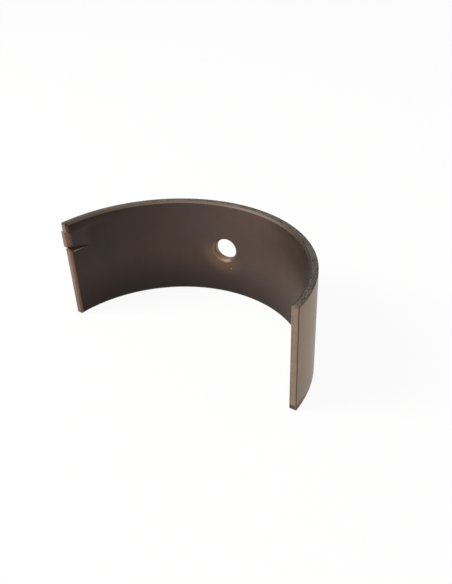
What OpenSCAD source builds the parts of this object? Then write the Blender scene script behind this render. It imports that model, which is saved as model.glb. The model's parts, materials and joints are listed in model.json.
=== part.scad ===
// Plain bearing half shell for a split housing, standing on its lower side face.
// The shaft axis of the free shell is Z, mid width is Z = 0, the crown points to +Y
// and the joint faces look towards -Y, with the locating tang at the -X end.

/* [Fit] */
// Diameter of the split housing that the shell is clamped into
housing_d = 51; // [44:0.5:80]
// Wall thickness
wall = 1.5; // [1.3:0.1:2.5]
// Width of the shell along the shaft
width = 20.4; // [14:0.2:40]
// How much wider the free shell is across its joint faces than its housing
free_spread = 1.4; // [0:0.1:2.4]

/* [Edges] */
// Chamfer along both edges of the bore
bore_chamfer = 0.4; // [0.1:0.05:0.6]
// Chamfer along both edges of the back
back_chamfer = 0.1; // [0.05:0.05:0.5]
// Depth into each joint face of the relief between the bore and the face
joint_relief_depth = 0.3; // [0.15:0.05:0.5]
// Length along the bore of that relief
joint_relief_length = 0.5; // [0.2:0.05:0.8]
// Chamfer between the back and each joint face
joint_back_chamfer = 0.2; // [0.1:0.05:0.4]
// Chamfer between the side faces and each joint face
joint_side_chamfer = 0.25; // [0.1:0.05:0.6]

/* [Oil hole] */
// Diameter of the oil hole
oil_hole_d = 4.5; // [2:0.25:8]
// Angle from the crown to the oil hole, towards the tang
oil_hole_angle = 11.5; // [-45:0.5:45]
// Distance of the oil hole from mid width, towards the upper side face
oil_hole_offset = 0; // [-2:0.1:2]
// Chamfer around the oil hole on the bore side
oil_hole_chamfer = 0.5; // [0.1:0.05:0.6]

/* [Tang] */
// Width of the tang along the shaft
tang_width = 3.3; // [2:0.1:6]
// Distance from the upper side face to the tang
tang_inset = 2.1; // [1:0.1:6]
// Length of the pressed ramp, along the back up to the joint face
tang_length = 5; // [3:0.1:8]
// How far the tang stands out of the back at the joint face
tang_height = 0.75; // [0.4:0.05:1.2]
// How far the end of the tang stays behind the chamfer between back and joint face
tang_setback = 0.05; // [0.05:0.05:0.5]
// Relief beside both flanks of the tang at the joint face
tang_relief = 0.2; // [0.05:0.05:0.4]
// Depth of the pressed recess in the bore at the joint face
recess_depth = 1.2; // [0.5:0.05:1.2]
// How much wider the recess is at the bore than at its floor, on its lower side
recess_draft = 0.6; // [0.1:0.05:1]

/* [Hidden] */
$fn = 180;

// Cuts run past the surface that they open by this much
cut_past = 1;

// The arc keeps its length while it springs open, so a wider shell has a shorter angle
half_angle = 90 * (1 - free_spread / housing_d);
back_r = (housing_d + free_spread) / 2 / sin(half_angle);
bore_r = back_r - wall;
half_width = width / 2;

// Directions of the crown and of the tang end, from +X
crown_angle = 90;
tang_end_angle = crown_angle + half_angle;

// Heights of the tang's two flanks, and the angles that its length and set-back take up
tang_top = half_width - tang_inset;
tang_bottom = tang_top - tang_width;
tang_angle = tang_length / back_r * 180 / PI;
tang_start_angle = tang_end_angle - tang_angle;
setback_angle = (joint_back_chamfer + tang_setback) / back_r * 180 / PI;

// Section of the wall, radius along X and height along Y
module wall_section() {
    polygon([
        [bore_r, -half_width + bore_chamfer],
        [bore_r + bore_chamfer, -half_width],
        [back_r - back_chamfer, -half_width],
        [back_r, -half_width + back_chamfer],
        [back_r, half_width - back_chamfer],
        [back_r - back_chamfer, half_width],
        [bore_r + bore_chamfer, half_width],
        [bore_r, half_width - bore_chamfer],
    ]);
}

// Sweeps a section about the axis, from one angle over a span
module ring_sector(from, span) {
    rotate([0, 0, from])
        rotate_extrude(angle = span)
            children();
}

// Round bar of the arc's own radius, tilted about the line where the tang begins so that
// it stands past the arc by rise at the joint face
module ramp_bar(radius, rise) {
    chord = 2 * radius * sin(tang_angle / 2);
    rotate([0, 0, tang_start_angle])
        translate([radius, 0, 0])
            rotate([0, 0, -atan(rise / chord)])
                translate([-radius, 0, -half_width])
                    cylinder(r = radius, h = width);
}

// Metal pressed out of the back, rooted in the middle of the wall
module tang() {
    intersection() {
        ramp_bar(back_r, tang_height);
        ring_sector(tang_start_angle - tang_angle, 2 * tang_angle + setback_angle)
            translate([back_r - wall / 2, tang_bottom])
                square([wall / 2 + tang_height + cut_past, tang_width]);
    }
}

// Hollow that the press leaves in the bore, with a sloping lower flank
module recess() {
    slope = recess_draft / recess_depth;
    intersection() {
        ramp_bar(bore_r, recess_depth);
        ring_sector(tang_start_angle - tang_angle, 3 * tang_angle)
            polygon([
                [bore_r - cut_past, tang_bottom - recess_draft - slope * cut_past],
                [back_r, tang_bottom - recess_draft + slope * wall],
                [back_r, tang_top],
                [bore_r - cut_past, tang_top],
            ]);
    }
}

// Cut that keeps the end of the tang behind the joint face
module tang_end_cut() {
    ring_sector(tang_end_angle - setback_angle, 3 * setback_angle)
        translate([bore_r - cut_past, tang_bottom - tang_relief])
            square([wall + tang_height + 2 * cut_past, tang_width + 2 * tang_relief]);
}

// Places its children at a joint face: X is the radius and Y points out of the face
module at_joint_face(end) {
    rotate([0, 0, crown_angle + end * half_angle])
        mirror([0, end > 0 ? 0 : 1, 0])
            children();
}

// Cuts that relieve the bore edge and chamfer the back and side edges of one joint face
module joint_face_chamfers() {
    relief_slope = joint_relief_length / joint_relief_depth;
    translate([0, 0, -half_width - cut_past])
        linear_extrude(height = width + 2 * cut_past) {
            polygon([
                [bore_r - cut_past, relief_slope * cut_past],
                [bore_r + joint_relief_depth + cut_past, relief_slope * cut_past],
                [bore_r - cut_past, -joint_relief_length - relief_slope * cut_past],
            ]);
            polygon([
                [back_r + cut_past, cut_past],
                [back_r - joint_back_chamfer - cut_past, cut_past],
                [back_r + cut_past, -joint_back_chamfer - cut_past],
            ]);
        }
    for (side = [-1, 1])
        mirror([0, 0, side > 0 ? 0 : 1])
            translate([bore_r - cut_past, 0, 0])
                rotate([90, 0, 90])
                    linear_extrude(height = wall + 2 * cut_past)
                        polygon([
                            [cut_past, half_width + cut_past],
                            [cut_past, half_width - joint_side_chamfer - cut_past],
                            [-joint_side_chamfer - cut_past, half_width + cut_past],
                        ]);
}

// Oil hole through the wall, chamfered on the bore side
module oil_hole() {
    chamfer_len = 2 * oil_hole_chamfer;
    rotate([0, 0, crown_angle + oil_hole_angle])
        translate([bore_r, 0, oil_hole_offset])
            rotate([0, 90, 0]) {
                translate([0, 0, -cut_past])
                    cylinder(d = oil_hole_d, h = wall + 2 * cut_past);
                translate([0, 0, -oil_hole_chamfer])
                    cylinder(
                        r1 = oil_hole_d / 2 + chamfer_len,
                        r2 = oil_hole_d / 2,
                        h = chamfer_len
                    );
            }
}

// Half round with its two joint faces finished
module arc_wall() {
    difference() {
        ring_sector(crown_angle - half_angle, 2 * half_angle)
            wall_section();
        for (end = [-1, 1])
            at_joint_face(end)
                joint_face_chamfers();
    }
}

// Bimetal strip rolled to a half round, pierced and lanced
module bearing_shell() {
    color([0.49, 0.45, 0.41])
        difference() {
            union() {
                arc_wall();
                tang();
            }
            recess();
            tang_end_cut();
            oil_hole();
        }
}

bearing_shell();
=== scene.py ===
"""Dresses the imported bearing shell: shapes and rolls a flat strip, then finishes and lights it."""

import json
import math

import bmesh
import bpy
from bpy.props import FloatProperty, FloatVectorProperty, PointerProperty
from mathutils import Matrix, Vector


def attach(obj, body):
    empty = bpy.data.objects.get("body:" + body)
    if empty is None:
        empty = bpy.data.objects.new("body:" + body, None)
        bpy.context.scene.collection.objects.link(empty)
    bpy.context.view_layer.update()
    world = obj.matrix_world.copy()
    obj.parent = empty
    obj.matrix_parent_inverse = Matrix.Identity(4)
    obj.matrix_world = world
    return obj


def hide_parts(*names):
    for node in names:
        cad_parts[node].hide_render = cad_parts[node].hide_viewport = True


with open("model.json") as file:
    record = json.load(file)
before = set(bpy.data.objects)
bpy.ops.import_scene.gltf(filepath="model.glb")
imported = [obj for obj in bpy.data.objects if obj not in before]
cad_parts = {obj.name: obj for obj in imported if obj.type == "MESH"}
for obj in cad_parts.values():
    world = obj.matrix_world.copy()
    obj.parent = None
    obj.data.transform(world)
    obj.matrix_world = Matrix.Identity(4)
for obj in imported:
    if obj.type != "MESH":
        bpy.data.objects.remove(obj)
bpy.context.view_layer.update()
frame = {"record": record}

bl_info = {
    "name": "Bearing shell",
    "version": (1, 0, 0),
    "blender": (4, 5, 0),
    "location": "View3D > Sidebar > Bearing",
    "description": "Models a plain bearing half shell on its packed frame and sets a studio around it",
    "category": "Add Mesh",
}

# Names that the frame gives, the attribute that keeps the flat strip, and one millimetre in metres
PIECE = "bearing_shell"
BODY = "root"
STRIP = "strip"
MM = 0.001

# Sizes that the frame gives
MOUNTS = {mount["name"]: mount for mount in frame["record"]["mounts"]}
BORE_RADIUS = MOUNTS["journal"]["dims"]["r_mm"] * MM
BACK_RADIUS = MOUNTS["housing_seat"]["pos_m"][1]
HALF_ANGLE = math.acos(MOUNTS["plain_joint_face"]["axis"][0])
HALF_WIDTH = MOUNTS["upper_side_face"]["pos_m"][2]
FLOOR_LEVEL = MOUNTS["lower_side_face"]["pos_m"][2]
HOLE_RADIUS = MOUNTS["oil_hole"]["dims"]["r_mm"] * MM
HOLE_ANGLE = math.atan2(*MOUNTS["oil_hole"]["axis"][:2])

# The same sizes on the flat strip: X along the back's arc from the crown, Y from bore to back, Z up
WALL = BACK_RADIUS - BORE_RADIUS
HALF_LENGTH = HALF_ANGLE * BACK_RADIUS
HOLE_PLACE = HOLE_ANGLE * BACK_RADIUS

# The finishes, in the order of the piece's material slots
LINING, BACK, SIDE, JOINT, LINING_EDGE, BACK_EDGE = range(6)


def length_property(name, description, millimetres):
    """A size that is shown in scene units, from its default in millimetres."""
    return FloatProperty(
        name=name,
        description=description,
        default=millimetres * MM,
        min=0,
        precision=5,
        unit="LENGTH",
    )


def colour_property(name, description, colour):
    """A linear colour with its default."""
    return FloatVectorProperty(
        name=name,
        description=description,
        default=colour,
        size=3,
        min=0,
        max=1,
        subtype="COLOR",
    )


class ShellSizes(bpy.types.PropertyGroup):
    """Sizes of the edges, the tang and the mesh, beside those that the frame gives."""

    bore_chamfer: length_property("Bore chamfer", "Chamfer along both edges of the bore", 0.4)
    back_chamfer: length_property("Back chamfer", "Chamfer along both edges of the back", 0.1)
    relief_depth: length_property("Relief depth", "Depth into a joint face of the relief at the bore", 0.3)
    relief_length: length_property("Relief length", "Length along the bore of that relief", 0.5)
    joint_back_chamfer: length_property("Joint back chamfer", "Chamfer between back and joint faces", 0.2)
    joint_side_chamfer: length_property("Joint side chamfer", "Chamfer between sides and joint faces", 0.25)
    edge_break: length_property("Edge break", "Rounding that tumbling leaves on every edge", 0.05)
    hole_chamfer: length_property("Hole chamfer", "Chamfer round the oil hole on the bore side", 0.5)
    tang_width: length_property("Tang width", "Width of the tang along the shaft", 3.3)
    tang_inset: length_property("Tang inset", "Distance from the upper side face to the tang", 2.1)
    tang_length: length_property("Tang length", "Length of the pressed ramp", 5.0)
    tang_height: length_property("Tang height", "How far the tang stands out of the back", 0.75)
    tang_setback: length_property("Tang setback", "How far the tang stays behind the joint face", 0.25)
    tang_relief: length_property("Tang relief", "Width cut back beside both flanks of the tang", 0.2)
    tang_flank: length_property("Tang flank", "Width that each sheared flank takes up", 0.06)
    recess_depth: length_property("Recess depth", "Depth of the recess behind the tang", 1.2)
    recess_draft: length_property("Recess draft", "Slope of the recess's lower flank", 0.6)
    patch: length_property("Patch", "Half width of the square patch round the oil hole", 4.0)
    mesh_step: length_property("Mesh step", "Distance between the lines that score the strip", 1 / 3)


class ShellFinish(bpy.types.PropertyGroup):
    """Colours of the shell's surfaces."""

    lining: colour_property("Lining", "Dark bearing overlay in the bore", (0.100, 0.069, 0.056))
    lining_cool: colour_property("Cool lining", "Overlay with a tarnish on it", (0.086, 0.067, 0.068))
    lining_warm: colour_property("Warm lining", "Overlay where it is rubbed thin", (0.19, 0.115, 0.07))
    # Colour of the painted highlight in the oil hole's chamfer
    bronze_painted_highlight: colour_property("Bronze", "Shows where an edge cuts the lining", (0.185, 0.120, 0.072))
    # Also the painted warm reflection on the recess floor near the joint face
    pressed: colour_property("Pressed metal", "Metal that the press has smeared", (0.23, 0.128, 0.086))
    # Tarnish with painted shade in the recess
    recess_tarnish_and_painted_shade: colour_property("Recess floor", "Tarnished floor of the recess", (0.0533, 0.0415, 0.0422))
    recess_flank: colour_property("Recess flank", "Sloping flank of the recess", (0.184, 0.1024, 0.0688))
    # Painted shade in the recess's sheared corner
    painted_recess_corner_shade: colour_property("Recess corner", "Oxide in its sheared corner", (0.012, 0.008, 0.007))
    # Bright metal of the nick, also the painted highlight along the recess's edge and the painted light on
    # the oil hole's wall
    scraped_metal_and_highlight: colour_property("Scraped metal", "Bright metal of nicks and scraped edges", (0.42, 0.33, 0.25))
    steel: colour_property("Steel", "Satin steel of the back", (0.235, 0.182, 0.132))
    grazing: colour_property("Grazing tint", "Tint of reflections at a flat angle", (0.80, 0.756, 0.716))
    steel_side: colour_property("Side steel", "Machined side faces", (0.245, 0.220, 0.185))
    # Also the colour of the painted shade at the shell's foot; elsewhere oxide in pits and on broken edges
    dark_steel_and_painted_shade: colour_property("Dark steel", "Oxide in pits and on broken edges", (0.050, 0.038, 0.031))
    parting: colour_property("Parting line", "Oxide between joint faces and back", (0.085, 0.056, 0.037))
    joint_steel: colour_property("Joint steel", "Broached joint faces", (0.245, 0.178, 0.128))
    rim: colour_property("Rim", "Chamfers along the bore's edges", (0.150, 0.114, 0.088))


class StudioSetup(bpy.types.PropertyGroup):
    """Camera, lamp and surroundings."""

    camera_place: FloatVectorProperty(
        name="Camera place",
        description="Where the camera stands",
        default=(0.064779, -0.065831, 0.062156),
        size=3,
        precision=6,
        subtype="TRANSLATION",
        unit="LENGTH",
    )
    camera_azimuth: FloatProperty(
        name="Azimuth",
        description="Turn of the camera about the vertical, from looking along +Y",
        default=math.radians(37.83),
        subtype="ANGLE",
    )
    camera_elevation: FloatProperty(
        name="Elevation",
        description="How far the camera looks down",
        default=math.radians(32.41),
        subtype="ANGLE",
    )
    camera_roll: FloatProperty(
        name="Roll",
        description="Turn of the camera about its own line of sight",
        default=math.radians(-2.38),
        subtype="ANGLE",
    )
    lens: FloatProperty(
        name="Focal length",
        description="Focal length on a 36 mm sensor",
        default=38.935,
        unit="CAMERA",
    )
    floor_white: FloatProperty(
        name="Floor white",
        description="Share of plain white in what the floor shows, the rest keeps the shadow",
        default=0.93,
        min=0,
        max=1,
        subtype="FACTOR",
    )
    room_dark: FloatProperty(
        name="Room",
        description="Strength of the surroundings on all sides",
        default=0.32,
        min=0,
    )
    horizon_light: FloatProperty(
        name="Horizon",
        description="Strength that the pale walls add down at the floor",
        default=0.6,
        min=0,
    )
    window_light: FloatProperty(
        name="Window",
        description="Strength that the window in front adds",
        default=0.35,
        min=0,
    )
    screen_light: FloatProperty(
        name="Screen",
        description="Strength that the pale screen on the right adds",
        default=0.1,
        min=0,
    )
    key_power: FloatProperty(
        name="Key lamp",
        description="Power of the soft lamp at the window",
        default=3.0,
        min=0,
        unit="POWER",
    )


class ShellSettings(bpy.types.PropertyGroup):
    """All settings of the add-on."""

    sizes: PointerProperty(name="Sizes", description="Sizes of the shell", type=ShellSizes)
    finish: PointerProperty(name="Finish", description="Colours of the shell", type=ShellFinish)
    studio: PointerProperty(name="Studio", description="Light and camera", type=StudioSetup)


# Mesh of the shell

# How near a cut takes a vertex for its own, and the angles of an edge that is broken or shaded sharp
CUT_TOLERANCE = 1e-7
BROKEN_EDGE = math.radians(20)
SHARP_EDGE = math.radians(32)


def everything(bm):
    """All elements of a mesh, as the cutting operators take them."""
    return bm.verts[:] + bm.edges[:] + bm.faces[:]


def slice_off(bm, place, outward):
    """Cuts away what lies outward of a plane and closes the cut."""
    cut = bmesh.ops.bisect_plane(
        bm,
        geom=everything(bm),
        dist=CUT_TOLERANCE,
        plane_co=place,
        plane_no=outward,
        clear_outer=True,
    )
    loop = [element for element in cut["geom_cut"] if isinstance(element, bmesh.types.BMEdge)]
    bmesh.ops.edgeloop_fill(bm, edges=loop)


def score(bm, axis, places):
    """Draws a line across the strip at each place along an axis."""
    for place in places:
        bmesh.ops.bisect_plane(
            bm, geom=everything(bm), dist=CUT_TOLERANCE, plane_co=axis * place, plane_no=axis
        )


def chamfered_strip(bm, sizes):
    """A flat strip of the wall's section with every chamfer cut and every edge broken."""
    half = Vector((HALF_LENGTH, WALL / 2, HALF_WIDTH))
    middle = Vector((0, WALL / 2, 0))
    bmesh.ops.create_cube(bm, size=2)
    bmesh.ops.scale(bm, vec=half, verts=bm.verts)
    bmesh.ops.translate(bm, vec=middle, verts=bm.verts)
    bore, back = Vector((0, -1, 0)), Vector((0, 1, 0))
    sides = [Vector((0, 0, way)) for way in (-1, 1)]
    ends = [Vector((way, 0, 0)) for way in (-1, 1)]
    cuts = []
    for side in sides:
        cuts.append((bore * sizes.bore_chamfer, side * sizes.bore_chamfer))
        cuts.append((back * sizes.back_chamfer, side * sizes.back_chamfer))
    for end in ends:
        cuts.append((end * sizes.relief_length, bore * sizes.relief_depth))
        cuts.append((end * sizes.joint_back_chamfer, back * sizes.joint_back_chamfer))
        cuts += [(end * sizes.joint_side_chamfer, side * sizes.joint_side_chamfer) for side in sides]
    for first, second in cuts:
        corner = middle + (first.normalized() + second.normalized()) * half
        outward = first / first.length_squared + second / second.length_squared
        slice_off(bm, corner - first, outward)
    sharp = [edge for edge in bm.edges if edge.calc_face_angle() > BROKEN_EDGE]
    bmesh.ops.bevel(
        bm,
        geom=sharp,
        offset=sizes.edge_break,
        offset_type="OFFSET",
        affect="EDGES",
        segments=2,
        profile=0.5,
        material=-1,
    )


def tang_heights(sizes):
    """Heights of the tang's top and bottom, and of the foot of the recess behind it."""
    top = HALF_WIDTH - sizes.tang_inset
    bottom = top - sizes.tang_width
    return top, bottom, bottom - sizes.recess_draft


def score_strip(bm, sizes):
    """Lines for the roll, for the patch round the oil hole and for the tang's flanks."""
    step = sizes.mesh_step
    first = math.ceil((-HALF_LENGTH - HOLE_PLACE) / step)
    last = math.floor((HALF_LENGTH - HOLE_PLACE) / step)
    score(bm, Vector((1, 0, 0)), [HOLE_PLACE + count * step for count in range(first, last + 1)])
    count = round(sizes.patch / step)
    heights = [step * line for line in range(-count, count + 1)]
    top, bottom, foot = tang_heights(sizes)
    for edge, way in ((top, 1), (bottom, -1)):
        for reach in (0, sizes.tang_relief):
            heights += [edge + way * reach, edge + way * (reach + sizes.tang_flank)]
    heights.append(foot)
    score(bm, Vector((0, 0, 1)), heights)


def sideways(place, depth):
    """Distance of a place on the strip from the oil hole's axis once the strip is rolled."""
    return (BORE_RADIUS + depth) * math.sin((place - HOLE_PLACE) / BACK_RADIUS)


def place_of(distance, depth):
    """Place on the strip that lies that far sideways of the oil hole's axis."""
    return HOLE_PLACE + BACK_RADIUS * math.asin(distance / (BORE_RADIUS + depth))


def ring_inward(bm, rim, radius, depth):
    """Extrudes a rim to a circle about the oil hole's axis and returns the new rim."""
    made = bmesh.ops.extrude_edge_only(bm, edges=rim)["geom"]
    new = {element for element in made if isinstance(element, bmesh.types.BMVert)}
    for vert in new:
        spoke = Vector((sideways(vert.co.x, vert.co.y), vert.co.z)).normalized() * radius
        vert.co = (place_of(spoke.x, depth), depth, spoke.y)
    edges = [element for element in made if isinstance(element, bmesh.types.BMEdge)]
    return [edge for edge in edges if new.issuperset(edge.verts)]


def pierce(bm, sizes):
    """Opens the patch on both faces, draws the rims in to the oil hole and joins them by its wall."""
    chamfer, edge_break = sizes.hole_chamfer, sizes.edge_break
    bore_rings = [
        (HOLE_RADIUS + 2 * chamfer, 0),
        (HOLE_RADIUS + chamfer + edge_break, 0),
        (HOLE_RADIUS + chamfer - edge_break / 2, edge_break / 2),
        (HOLE_RADIUS + edge_break / 2, chamfer - edge_break / 2),
        (HOLE_RADIUS, chamfer + edge_break),
    ]
    back_rings = [
        (HOLE_RADIUS + 2 * chamfer, WALL),
        (HOLE_RADIUS + 2 * edge_break, WALL),
        (HOLE_RADIUS, WALL - 2 * edge_break),
    ]
    rims = []
    for depth, rings in ((0, bore_rings), (WALL, back_rings)):
        patch = []
        for face in bm.faces:
            middle = face.calc_center_median()
            across = max(abs(middle.x - HOLE_PLACE), abs(middle.z))
            if abs(middle.y - depth) < sizes.edge_break / 2 and across < sizes.patch:
                patch.append(face)
        bmesh.ops.delete(bm, geom=patch, context="FACES")
        rim = []
        for edge in bm.edges:
            if edge.is_boundary and all(abs(vert.co.y - depth) < edge_break / 2 for vert in edge.verts):
                rim.append(edge)
        for radius, level in rings:
            rim = ring_inward(bm, rim, radius, level)
        rims += rim
    bmesh.ops.bridge_loops(bm, edges=rims)


def sort_finishes(bm):
    """Gives each face of the flat strip the finish of the surface that it lies on."""
    # How squarely a face looks along an axis, and how near the outside a side or joint face lies
    plain = 0.97
    slanted = 0.2
    outermost = MM / 10
    bm.normal_update()
    for face in bm.faces:
        normal = face.normal
        middle = face.calc_center_median()
        if normal.y < -plain:
            face.material_index = LINING
        elif normal.y > plain:
            face.material_index = BACK
        elif abs(normal.z) > plain and abs(middle.z) > HALF_WIDTH - outermost:
            face.material_index = SIDE
        elif abs(normal.x) > plain and abs(middle.x) > HALF_LENGTH - outermost:
            face.material_index = JOINT
        elif normal.y > slanted:
            face.material_index = BACK_EDGE
        else:
            face.material_index = LINING_EDGE


def remember_strip(bm):
    """Keeps each vertex's place on the flat strip, which the finishes follow."""
    layer = bm.verts.layers.float_vector.new(STRIP)
    for vert in bm.verts:
        vert[layer] = vert.co


def clamp(value):
    """A number held between 0 and 1."""
    return min(max(value, 0), 1)


def press_ramp(share):
    """Height of the pressed ramp as a share of its end, with a soft start."""
    ease = 0.12
    rise = share * share / (2 * ease) if share < ease else share - ease / 2
    return rise / (1 - ease / 2)


def lance_tang(bm, sizes):
    """Presses the tang out of the back at one end, which leaves the recess in the bore."""
    top, bottom, foot = tang_heights(sizes)
    # Length of the joint face's relief, and the share of it that stays at the set-back end of the tang
    end_zone = sizes.relief_length + sizes.edge_break
    end_kept = 0.1
    for vert in bm.verts:
        past_end = vert.co.x + HALF_LENGTH
        if past_end > sizes.tang_length:
            continue
        level = clamp(vert.co.y / WALL)
        height = vert.co.z
        ramp = press_ramp(clamp(1 - max(past_end, sizes.tang_setback) / sizes.tang_length))
        sheared_top = clamp(1 - (height - top) / sizes.tang_flank)
        on_back = sheared_top * clamp(1 - (bottom - height) / sizes.tang_flank)
        on_bore = sheared_top * clamp((height - foot) / sizes.recess_draft)
        if foot < height < bottom:
            floor_height = foot + (height - foot) * ramp
        elif bottom <= height < top:
            floor_foot = bottom - sizes.recess_draft * (1 - ramp)
            floor_height = top - (top - height) * (top - floor_foot) / sizes.tang_width
        else:
            floor_height = height
        vert.co.z = floor_height * (1 - level) + height * level
        sunk = sizes.recess_depth * on_bore * (1 - level)
        raised = sizes.tang_height * on_back * level
        vert.co.y += ramp * (sunk + raised)
        beside = max(height - top, bottom - height, 0)
        held_back = clamp(1 - (beside - sizes.tang_relief) / sizes.tang_flank)
        if past_end < end_zone:
            vert.co.x += (sizes.tang_setback - past_end * (1 - end_kept)) * held_back


def roll_strip(bm):
    """Rolls the strip to the half round about the shaft axis, with its crown towards +Y."""
    for vert in bm.verts:
        angle = vert.co.x / BACK_RADIUS
        radius = BORE_RADIUS + vert.co.y
        vert.co = (radius * math.sin(angle), radius * math.cos(angle), vert.co.z)


def shell_mesh(sizes):
    """The finished mesh of the shell."""
    bm = bmesh.new()
    chamfered_strip(bm, sizes)
    score_strip(bm, sizes)
    pierce(bm, sizes)
    sort_finishes(bm)
    remember_strip(bm)
    lance_tang(bm, sizes)
    roll_strip(bm)
    bmesh.ops.recalc_face_normals(bm, faces=bm.faces)
    mesh = bpy.data.meshes.new(PIECE)
    bm.to_mesh(mesh)
    bm.free()
    mesh.shade_smooth()
    mesh.set_sharp_from_angle(angle=SHARP_EDGE)
    return mesh


# Shader maths


class Value:
    """A shader value that takes part in Python expressions, each of which adds its Math node."""

    def __init__(self, graph, socket):
        self.graph = graph
        self.socket = socket

    def math(self, operation, *values):
        """The result of a Math node on values and numbers."""
        node = self.graph.node("ShaderNodeMath", {"operation": operation}, dict(enumerate(values)))
        return Value(self.graph, node.outputs[0])

    def __add__(self, other):
        return self.math("ADD", self, other)

    def __sub__(self, other):
        return self.math("SUBTRACT", self, other)

    def __mul__(self, other):
        return self.math("MULTIPLY", self, other)

    def __truediv__(self, other):
        return self.math("DIVIDE", self, other)

    def __pow__(self, other):
        return self.math("POWER", self, other)

    def __radd__(self, other):
        return self.math("ADD", other, self)

    def __rsub__(self, other):
        return self.math("SUBTRACT", other, self)

    def __rmul__(self, other):
        return self.math("MULTIPLY", other, self)

    def __rtruediv__(self, other):
        return self.math("DIVIDE", other, self)

    def __abs__(self):
        return self.math("ABSOLUTE", self)

    def larger(self, other):
        """The larger of two values."""
        return self.math("MAXIMUM", self, other)

    def rise(self, low, high):
        """0 below low, 1 above high and smooth between them; falls where low is the larger."""
        node = self.graph.node(
            "ShaderNodeMapRange",
            {"interpolation_type": "SMOOTHSTEP"},
            {"Value": self, "From Min": low, "From Max": high, "To Min": 0.0, "To Max": 1.0},
        )
        return Value(self.graph, node.outputs["Result"])


class Graph:
    """The nodes of one material or of the world."""

    def __init__(self, tree):
        self.tree = tree
        tree.nodes.clear()

    def node(self, kind, settings, sockets):
        """Adds a node: its settings first, then the values or links of its sockets."""
        made = self.tree.nodes.new(kind)
        for name, setting in settings.items():
            setattr(made, name, setting)
        for name, value in sockets.items():
            if isinstance(value, Value):
                self.tree.links.new(value.socket, made.inputs[name])
            else:
                made.inputs[name].default_value = value
        return made

    def out(self, node, name=0):
        """One output of a node as a value."""
        return Value(self, node.outputs[name])

    def separate(self, vector):
        """The three parts of a vector."""
        node = self.node("ShaderNodeSeparateXYZ", {}, {"Vector": vector})
        return [self.out(node, axis) for axis in "XYZ"]

    def combine(self, x, y, z):
        """A vector from three parts."""
        return self.out(self.node("ShaderNodeCombineXYZ", {}, {"X": x, "Y": y, "Z": z}))

    def strip(self):
        """Along, depth and height on the flat strip, in metres."""
        node = self.node("ShaderNodeAttribute", {"attribute_name": STRIP}, {})
        return self.separate(self.out(node, "Vector"))

    def noise(self, vector, scale, detail=3.0, roughness=0.55):
        """Soft noise between 0 and 1."""
        node = self.node(
            "ShaderNodeTexNoise",
            {"noise_dimensions": "3D"},
            {"Vector": vector, "Scale": scale, "Detail": detail, "Roughness": roughness},
        )
        return self.out(node)

    def mix(self, share, first, second):
        """One colour going over into another."""
        ends = [end if isinstance(end, Value) else (*end, 1.0) for end in (first, second)]
        node = self.node(
            "ShaderNodeMix",
            {"data_type": "RGBA", "clamp_factor": True},
            {"Factor": share, 6: ends[0], 7: ends[1]},
        )
        return self.out(node, 2)

    def shade(self, colour, factor):
        """A colour made darker or lighter by a value."""
        node = self.node("ShaderNodeVectorMath", {"operation": "SCALE"}, {0: colour, "Scale": factor})
        return self.out(node)

    def bump(self, height, distance, strength):
        """A normal that follows a height."""
        node = self.node(
            "ShaderNodeBump", {}, {"Height": height, "Distance": distance, "Strength": strength}
        )
        return self.out(node)

    def metal(self, colour, roughness, normal, metallic, grazing=(1.0, 1.0, 1.0)):
        """A metal surface as the material's output."""
        sockets = {
            "Base Color": colour,
            "Roughness": roughness,
            "Metallic": metallic,
            "Normal": normal,
            "Specular Tint": (*grazing, 1.0),
        }
        shader = self.node("ShaderNodeBsdfPrincipled", {}, sockets)
        self.node("ShaderNodeOutputMaterial", {}, {"Surface": self.out(shader)})


def new_graph(name):
    """A new material and its graph."""
    material = bpy.data.materials.new(name)
    material.use_nodes = True
    return material, Graph(material.node_tree)


# Finishes

# Noise scales are cells per metre, and the factors of a tone or a mix are shares of full strength.
# reach runs from -1 at the tang's end to 1 at the plain end, level from -1 at the foot to 1 at the top.

# The nick below the oil hole, and the painted shade at the foot of the plain end
NICK_ALONG = -3.91 * MM
NICK_HEIGHT = -4.05 * MM
NICK_RIM = 0.15 * MM
NICK_CORE = 0.04 * MM
FOOT_SHADE_TOP = 1.3 * MM
FOOT_SHADE_FULL = 0.8 * MM


def painted_foot_shade(height):
    """Share of the painted shade that the shell's foot has at its plain end."""
    return (height + HALF_WIDTH).rise(FOOT_SHADE_TOP, FOOT_SHADE_FULL) * 0.85


def from_hole(along, height):
    """How far along the strip a place lies from the oil hole's axis, and how far in all."""
    across = along - HOLE_PLACE
    return across, (across * across + height * height) ** 0.5


def painted_lining_light_and_shade(along, height):
    """Painted light and shade on the overlay: painted shade towards the tang and low down, painted light
    past the crown, over the tang and under the upper rim.
    """
    reach = along / HALF_LENGTH
    level = height / HALF_WIDTH
    to_crown = reach.rise(-0.75, 0.15)
    past_crown = reach.rise(-0.3, 0.3) * level.rise(-0.3, 1.0)
    over_tang = reach.rise(-0.7, -0.85) * level.rise(0.7, 0.9)
    under_rim = reach.rise(0.02, 0.2) * reach.rise(0.57, 0.23) * level.rise(0.5, 0.85)
    light = 0.56 + to_crown * 0.44 + past_crown * 0.25 + over_tang * 0.2 + under_rim * 0.35
    # Painted shade low down in the bore
    low = level.rise(0.0, -1.0)
    return light * (1.0 - low * 0.5)


def mark_hole(graph, finish, base, along, height, specks):
    """Overlay that is warmer below the oil hole, with a nick under it."""
    across, distance = from_hole(along, height)
    below = (across * -0.35 - height * 0.94).rise(-0.5 * HOLE_RADIUS, 1.5 * HOLE_RADIUS)
    # Warmer overlay below the oil hole
    rubbed = distance.rise(2.9 * HOLE_RADIUS, HOLE_RADIUS) * below
    base = graph.mix(rubbed * 0.6, base, finish.lining_warm)
    beside_nick = along - NICK_ALONG
    over_nick = height - NICK_HEIGHT
    ragged = 0.4 + specks * 1.2
    spread = (beside_nick * beside_nick + over_nick * over_nick) * ragged
    return graph.mix(spread.rise(NICK_RIM**2, NICK_CORE**2), base, finish.scraped_metal_and_highlight)


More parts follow.
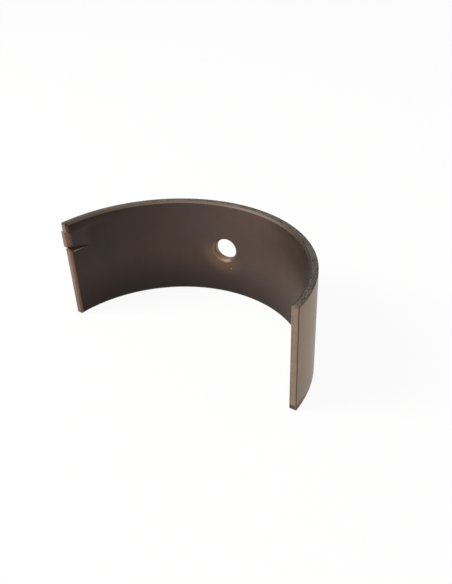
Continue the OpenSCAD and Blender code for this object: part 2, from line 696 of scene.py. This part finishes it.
def mark_recess(graph, settings, base, along, height):
    """The recess: a painted warm reflection on its floor near the joint face going over into tarnish with
    painted shade, a brown flank, painted shade in its sheared corner and a painted highlight along its
    lower edge.
    """
    finish, sizes = settings.finish, settings.sizes
    top, bottom, foot = tang_heights(sizes)
    soft = 0.05 * MM
    past_end = along + HALF_LENGTH
    pressed = past_end.rise(sizes.tang_length, 0.3 * sizes.tang_length)
    on_floor = height.rise(bottom - soft, bottom + soft) * height.rise(top + 0.08 * MM, top)
    # Painted warm reflection near the joint face, going over into tarnish with painted shade deeper in
    recess_floor_painted_light_and_shade = graph.mix(past_end.rise(0.4 * MM, 1.7 * MM), finish.pressed, finish.recess_tarnish_and_painted_shade)
    base = graph.mix(pressed * on_floor, base, recess_floor_painted_light_and_shade)
    on_flank = height.rise(foot, foot + soft) * height.rise(bottom + soft, bottom - soft)
    base = graph.mix(pressed * on_flank, base, finish.recess_flank)
    # Painted shade in the sheared corner
    corner = abs(height - bottom).rise(0.2 * MM, soft) * past_end.rise(1.6 * MM, 0.5 * MM)
    base = graph.mix(corner * 0.9, base, finish.painted_recess_corner_shade)
    # Painted highlight along the recess's lower edge
    edge = abs(height - foot).rise(0.11 * MM, soft) * past_end.rise(0.5 * MM, 0.9 * MM)
    fading = past_end.rise(0.8 * sizes.tang_length, 0.3 * sizes.tang_length)
    return graph.mix(edge * fading * 0.9, base, finish.scraped_metal_and_highlight)


def lining_material(settings):
    """Dark overlay in the bore, cloudy and finely lined, under painted light and shade, with marks at the
    oil hole and in the recess.
    """
    finish = settings.finish
    material, graph = new_graph("dark_lining")
    along, _, height = graph.strip()
    flat = graph.combine(along, height, 0.0)
    clouds = graph.noise(flat, 130.0)
    specks = graph.noise(flat, 3000.0, 4.0, 0.7)
    bands = graph.noise(graph.combine(along * 500.0, height * 40.0, 0.0), 1.0, 2.0)
    lines = graph.noise(graph.combine(along * 60.0, height * 7000.0, 0.0), 1.0, 2.0)
    tarnish = graph.noise(flat, 75.0, 2.0).rise(0.5, 0.75) * 0.55
    mottle = 0.68 + clouds * 0.3 + bands * 0.14 + specks * 0.2
    overlay = graph.mix(tarnish, finish.lining, finish.lining_cool)
    # The overlay's tone carries the painted light and shade
    base = graph.shade(overlay, mottle * painted_lining_light_and_shade(along, height))
    base = mark_hole(graph, finish, base, along, height, specks)
    base = mark_recess(graph, settings, base, along, height)
    roughness = 0.33 + clouds * 0.08 + lines * 0.05
    normal = graph.bump(lines, 0.004 * MM, 0.5)
    graph.metal(base, roughness, normal, 0.9, finish.grazing)
    return material


def back_material(settings):
    """Satin steel of the back with faint streaks round the arc and stains, with painted shade low down and
    along its foot.
    """
    finish = settings.finish
    material, graph = new_graph("satin_back")
    along, depth, height = graph.strip()
    stains = graph.noise(graph.combine(along, height, depth), 1500.0, 4.0, 0.65)
    streaks = graph.noise(graph.combine(along * 250.0, height * 3200.0, 0.0), 1.0)
    # Painted shade towards the bottom of the back
    low = height.rise(0.0, -HALF_WIDTH) * 0.15
    base = graph.shade(finish.steel, (0.68 + stains * 0.32 + streaks * 0.32) * (1.0 - low))
    # Painted shade along the back's foot and at the foot of the plain end
    foot = (height + HALF_WIDTH).rise(0.65 * MM, 0.35 * MM) * 0.6
    plain_end = along.rise(HALF_LENGTH - 6.0 * MM, HALF_LENGTH - MM)
    base = graph.mix(foot.larger(painted_foot_shade(height) * plain_end), base, finish.dark_steel_and_painted_shade)
    roughness = 0.22 + stains * 0.12 + streaks * 0.08
    normal = graph.bump(streaks, 0.006 * MM, 0.4)
    graph.metal(base, roughness, normal, 1.0, finish.grazing)
    return material


def side_material(settings):
    """Machined side faces, mottled along the arc with a dull oxide."""
    finish = settings.finish
    material, graph = new_graph("machined_side")
    along, depth, height = graph.strip()
    grain = graph.noise(graph.combine(along * 2900.0, depth * 5200.0, height * 300.0), 1.0, 4.0, 0.6)
    patches = graph.noise(graph.combine(along, depth, height), 420.0, 2.0)
    dull = (grain * 0.75 + patches * 0.25).rise(0.58, 0.40) * 0.9
    reach = along / HALF_LENGTH
    plain_end = reach.rise(0.3, 0.45) * 0.2
    tang_end = reach.rise(-0.6, -0.9) * 0.25
    mottled = graph.mix(dull, finish.steel_side, finish.dark_steel_and_painted_shade)
    base = graph.shade(mottled, 1.1 - plain_end - tang_end)
    roughness = 0.40 + grain * 0.2
    normal = graph.bump(grain, 0.01 * MM, 0.5)
    graph.metal(base, roughness, normal, 0.75)
    return material


def joint_material(settings):
    """Broached joint faces: steel with faint lines along the width, a little browner at the bore, with
    painted shade along the outer edge at the tang's end.
    """
    finish = settings.finish
    material, graph = new_graph("broached_joint")
    along, depth, height = graph.strip()
    lines = graph.noise(graph.combine(depth * 5000.0, height * 150.0, along), 1.0)
    stains = graph.noise(graph.combine(along, depth, height), 700.0, 4.0, 0.65)
    tone = 0.64 + lines * 0.16 + stains * 0.56
    tang_end = along.rise(0.0, -HALF_LENGTH)
    inner = depth.rise(0.75 * MM, 0.35 * MM) * 0.16
    # Painted shade along the outer edge of the tang's end
    outer = depth.rise(1.1 * MM, 1.35 * MM) * tang_end * 0.45
    tang_foot = height.rise(0.0, -HALF_WIDTH) * tang_end * 0.4
    base = graph.shade(finish.joint_steel, tone * (1.0 - inner) * (1.0 - outer) * (1.0 - tang_foot))
    smeared = depth.rise(1.0 * MM, 0.4 * MM) * tang_end * 0.5
    base = graph.mix(smeared, base, finish.pressed)
    plain_end = along.rise(0.0, MM)
    # Painted shade at the foot of the plain end
    base = graph.mix(painted_foot_shade(height) * plain_end, base, finish.dark_steel_and_painted_shade)
    roughness = 0.42 + lines * 0.15
    normal = graph.bump(lines, 0.008 * MM, 0.4)
    graph.metal(base, roughness, normal, 0.7)
    return material


def relief_metal(graph, settings, along, depth, height):
    """Reliefs between bore and joint faces: worn metal with painted shade at its top and bottom corners,
    and darker at the tang's end towards the top and low down.
    """
    finish = settings.finish
    level = height / HALF_WIDTH
    tang_side = along.rise(0.0, -MM)
    # Painted shade at the top and bottom corners
    corner = abs(height).rise(HALF_WIDTH - 0.35 * MM, HALF_WIDTH - 0.2 * MM)
    ends = level.rise(0.6, 0.85) * 0.45 + level.rise(0.0, -1.0) * 0.35
    worn = graph.mix(tang_side, finish.joint_steel, finish.pressed)
    worn = graph.shade(worn, (1.1 - corner * 0.7) * (1.0 - ends * tang_side))
    return graph.mix(depth.rise(0.0, settings.sizes.relief_depth * 0.5), finish.lining, worn)


def hole_metal(graph, settings, across, depth, height):
    """Edge of the oil hole: a painted highlight in the lower left of its chamfer, and painted light on the
    lower left of its wall.
    """
    finish = settings.finish
    chamfer_depth = settings.sizes.hole_chamfer
    lower_left = across * -0.8 - height * 0.6
    # Painted highlight and painted light on the lower left of the hole's edge
    painted_lit_lower_left = lower_left.rise(-0.1 * HOLE_RADIUS, HOLE_RADIUS)
    chamfer = graph.mix(painted_lit_lower_left, finish.lining, finish.bronze_painted_highlight)
    chamfer = graph.shade(chamfer, 1.0 + lower_left.rise(0.0, HOLE_RADIUS) * 0.6)
    wall = graph.mix(painted_lit_lower_left * 0.7, finish.lining_warm, finish.scraped_metal_and_highlight)
    return graph.mix(depth.rise(0.6 * chamfer_depth, 1.3 * chamfer_depth), chamfer, wall)


def lining_edge_material(settings):
    """Edges of the bore: chamfers along the rims with painted light towards the tang and painted shade
    towards the plain end, reliefs at the joints and the oil hole's edge.
    """
    finish, sizes = settings.finish, settings.sizes
    material, graph = new_graph("lining_edge")
    along, depth, height = graph.strip()
    lines = graph.noise(graph.combine(along * 300.0, depth * 9000.0, height * 300.0), 1.0, 2.0)
    wear = graph.noise(graph.combine(along, depth, height), 900.0, 2.0)
    reach = along / HALF_LENGTH
    # Painted light on the rim chamfers towards the tang, painted shade towards the plain end
    rim = graph.shade(finish.rim, 0.7 + reach.rise(-0.1, -0.5) * 0.4 - reach.rise(0.0, 0.5) * 0.36)
    at_end = (HALF_LENGTH - abs(along)).rise(sizes.relief_length + 0.2 * MM, sizes.relief_length)
    base = graph.mix(at_end, rim, relief_metal(graph, settings, along, depth, height))
    across, distance = from_hole(along, height)
    at_hole = distance.rise(2.0 * HOLE_RADIUS, 1.5 * HOLE_RADIUS)
    base = graph.mix(at_hole, base, hole_metal(graph, settings, across, depth, height))
    plain_end = along.rise(0.0, MM) * at_end
    # Painted shade at the foot of the plain end
    base = graph.mix(painted_foot_shade(height) * plain_end, base, finish.dark_steel_and_painted_shade)
    base = graph.shade(base, 0.82 + lines * 0.18 + wear * 0.18)
    normal = graph.bump(lines, 0.006 * MM, 0.4)
    graph.metal(base, 0.52 + lines * 0.12, normal, 0.7)
    return material


def back_edge_material(settings):
    """Broken edges of the back, browner than the faces that they part."""
    finish = settings.finish
    material, graph = new_graph("back_edge")
    along, depth, height = graph.strip()
    wear = graph.noise(graph.combine(along, depth, height), 1500.0, 2.0)
    base = graph.mix(0.32 + wear * 0.3, finish.dark_steel_and_painted_shade, finish.steel)
    at_joint = (HALF_LENGTH - abs(along)).rise(0.4 * MM, 0.3 * MM)
    outer_half = depth.rise(WALL - 0.14 * MM, WALL - 0.08 * MM)
    base = graph.mix(at_joint, base, graph.mix(outer_half, finish.joint_steel, finish.parting))
    normal = graph.bump(wear, 0.01 * MM, 0.3)
    graph.metal(base, 0.4 + wear * 0.15, normal, 0.7)
    return material


# The function that makes the finish of each material slot
FINISHES = {
    LINING: lining_material,
    BACK: back_material,
    SIDE: side_material,
    JOINT: joint_material,
    LINING_EDGE: lining_edge_material,
    BACK_EDGE: back_edge_material,
}


class BEARING_OT_shell(bpy.types.Operator):
    """Models the bearing shell and puts it in the frame's place"""

    bl_idname = "bearing.shell"
    bl_label = "Bearing shell"

    def execute(self, context):
        settings = context.scene.bearing
        mesh = shell_mesh(settings.sizes)
        for index in sorted(FINISHES):
            mesh.materials.append(FINISHES[index](settings))
        piece = bpy.data.objects.new("bearing_shell_finish", mesh)
        context.scene.collection.objects.link(piece)
        weighted = piece.modifiers.new("even_normals", "WEIGHTED_NORMAL")
        weighted.keep_sharp = True
        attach(piece, BODY)
        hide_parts(PIECE)
        return {"FINISHED"}


# Studio

# Lengths and places in metres, colours linear
FLOOR_REACH = 2.0
PAPER = (0.85, 0.85, 0.85, 1.0)
PLAIN_WHITE = (1.0, 1.0, 1.0, 1.0)
ROOM_TINT = (1.0, 0.985, 0.96, 1.0)
KEY_TINT = (1.0, 0.98, 0.95)
KEY_PLACE = Vector((-0.30, -0.27, 0.34))
KEY_SIZE = 0.2
WINDOW_WAY = Vector((-0.5, -0.55, 0.65)).normalized()
SCREEN_WAY = Vector((0.95, -0.1, 0.25)).normalized()
NEAREST_SEEN = 0.005
FARTHEST_SEEN = 20

# The camera's sensor in millimetres
SENSOR_WIDTH = 36

# Height below which the walls turn pale, and cosines where a light's glow starts and is full
PALE_BELOW = 0.35
GLOW_STARTS = 0.2
GLOW_FULL = 0.95


def floor_material(studio):
    """White floor: plain white to the camera and in reflections, with part of its shadow kept."""
    material, graph = new_graph("white_floor")
    path = graph.node("ShaderNodeLightPath", {}, {})
    seen = graph.out(path, "Is Camera Ray")
    for ray in ("Is Glossy Ray", "Is Transmission Ray"):
        seen = seen.larger(graph.out(path, ray))
    paper = graph.node("ShaderNodeBsdfDiffuse", {}, {"Color": PAPER})
    white = graph.node("ShaderNodeEmission", {}, {"Color": PLAIN_WHITE, "Strength": 1.0})
    mixed = graph.node(
        "ShaderNodeMixShader",
        {},
        {0: seen * studio.floor_white, 1: graph.out(paper), 2: graph.out(white)},
    )
    graph.node("ShaderNodeOutputMaterial", {}, {"Surface": graph.out(mixed)})
    return material


class BEARING_OT_studio(bpy.types.Operator):
    """Sets the floor, the light and the camera"""

    bl_idname = "bearing.studio"
    bl_label = "Studio"

    def execute(self, context):
        scene = context.scene
        studio = scene.bearing.studio
        self.floor(scene, studio)
        self.room(scene, studio)
        self.key_lamp(scene, studio)
        self.camera(scene, studio)
        scene.view_settings.view_transform = "Standard"
        return {"FINISHED"}

    def floor(self, scene, studio):
        """The floor that the shell stands on."""
        bm = bmesh.new()
        bmesh.ops.create_grid(bm, x_segments=1, y_segments=1, size=FLOOR_REACH)
        bmesh.ops.translate(bm, vec=(0, 0, FLOOR_LEVEL), verts=bm.verts)
        mesh = bpy.data.meshes.new("floor")
        bm.to_mesh(mesh)
        bm.free()
        mesh.materials.append(floor_material(studio))
        floor = bpy.data.objects.new("floor", mesh)
        scene.collection.objects.link(floor)

    def room(self, scene, studio):
        """Surroundings: a dim room, pale low down, with a window in front and a screen on the right."""
        world = bpy.data.worlds.new("studio_room")
        world.use_nodes = True
        scene.world = world
        graph = Graph(world.node_tree)
        direction = graph.out(graph.node("ShaderNodeTexCoord", {}, {}), "Generated")
        up = graph.separate(direction)[2]
        strength = studio.room_dark + up.rise(PALE_BELOW, 0.0) * studio.horizon_light
        for way, light in ((WINDOW_WAY, studio.window_light), (SCREEN_WAY, studio.screen_light)):
            towards = graph.node(
                "ShaderNodeVectorMath", {"operation": "DOT_PRODUCT"}, {0: direction, 1: way}
            )
            strength = strength + graph.out(towards, "Value").rise(GLOW_STARTS, GLOW_FULL) * light
        sky = graph.node("ShaderNodeBackground", {}, {"Color": ROOM_TINT, "Strength": strength})
        graph.node("ShaderNodeOutputWorld", {}, {"Surface": graph.out(sky)})

    def key_lamp(self, scene, studio):
        """The soft square lamp at the window, which looks at the shell."""
        lamp = bpy.data.lights.new("key_lamp", "AREA")
        lamp.shape = "SQUARE"
        lamp.size = KEY_SIZE
        lamp.energy = studio.key_power
        lamp.color = KEY_TINT
        holder = bpy.data.objects.new("key_lamp", lamp)
        holder.location = KEY_PLACE
        middle = Vector((0, BACK_RADIUS / 2, 0))
        holder.rotation_euler = (middle - KEY_PLACE).to_track_quat("-Z", "Y").to_euler()
        scene.collection.objects.link(holder)

    def camera(self, scene, studio):
        """The camera at the settings' place and angles."""
        camera = bpy.data.cameras.new("camera")
        camera.lens = studio.lens
        camera.sensor_width = SENSOR_WIDTH
        camera.clip_start = NEAREST_SEEN
        camera.clip_end = FARTHEST_SEEN
        holder = bpy.data.objects.new("camera", camera)
        turn = Matrix.Rotation(studio.camera_azimuth, 4, "Z")
        tilt = Matrix.Rotation(math.pi / 2 - studio.camera_elevation, 4, "X")
        roll = Matrix.Rotation(studio.camera_roll, 4, "Z")
        holder.matrix_world = Matrix.Translation(studio.camera_place) @ turn @ tilt @ roll
        scene.collection.objects.link(holder)
        scene.camera = holder


# Panel and registration


class BEARING_PT_panel(bpy.types.Panel):
    """Lists the add-on's settings and operators"""

    bl_idname = "BEARING_PT_panel"
    bl_label = "Bearing shell"
    bl_space_type = "VIEW_3D"
    bl_region_type = "UI"
    bl_category = "Bearing"

    def draw(self, context):
        layout = self.layout
        settings = context.scene.bearing
        for name in ("sizes", "finish", "studio"):
            group = getattr(settings, name)
            column = layout.column(align=True)
            for key in group.bl_rna.properties.keys():
                if key not in ("rna_type", "name"):
                    column.prop(group, key)
        layout.operator(BEARING_OT_shell.bl_idname)
        layout.operator(BEARING_OT_studio.bl_idname)


CLASSES = (
    ShellSizes,
    ShellFinish,
    StudioSetup,
    ShellSettings,
    BEARING_OT_shell,
    BEARING_OT_studio,
    BEARING_PT_panel,
)


def register():
    """Adds the classes and the scene's settings."""
    for entry in CLASSES:
        bpy.utils.register_class(entry)
    bpy.types.Scene.bearing = PointerProperty(type=ShellSettings)


def unregister():
    """Takes them away again."""
    del bpy.types.Scene.bearing
    for entry in reversed(CLASSES):
        bpy.utils.unregister_class(entry)


def main():
    """Builds the shell and its studio."""
    register()
    bpy.ops.bearing.shell()
    bpy.ops.bearing.studio()


if __name__ == "__main__":
    main()
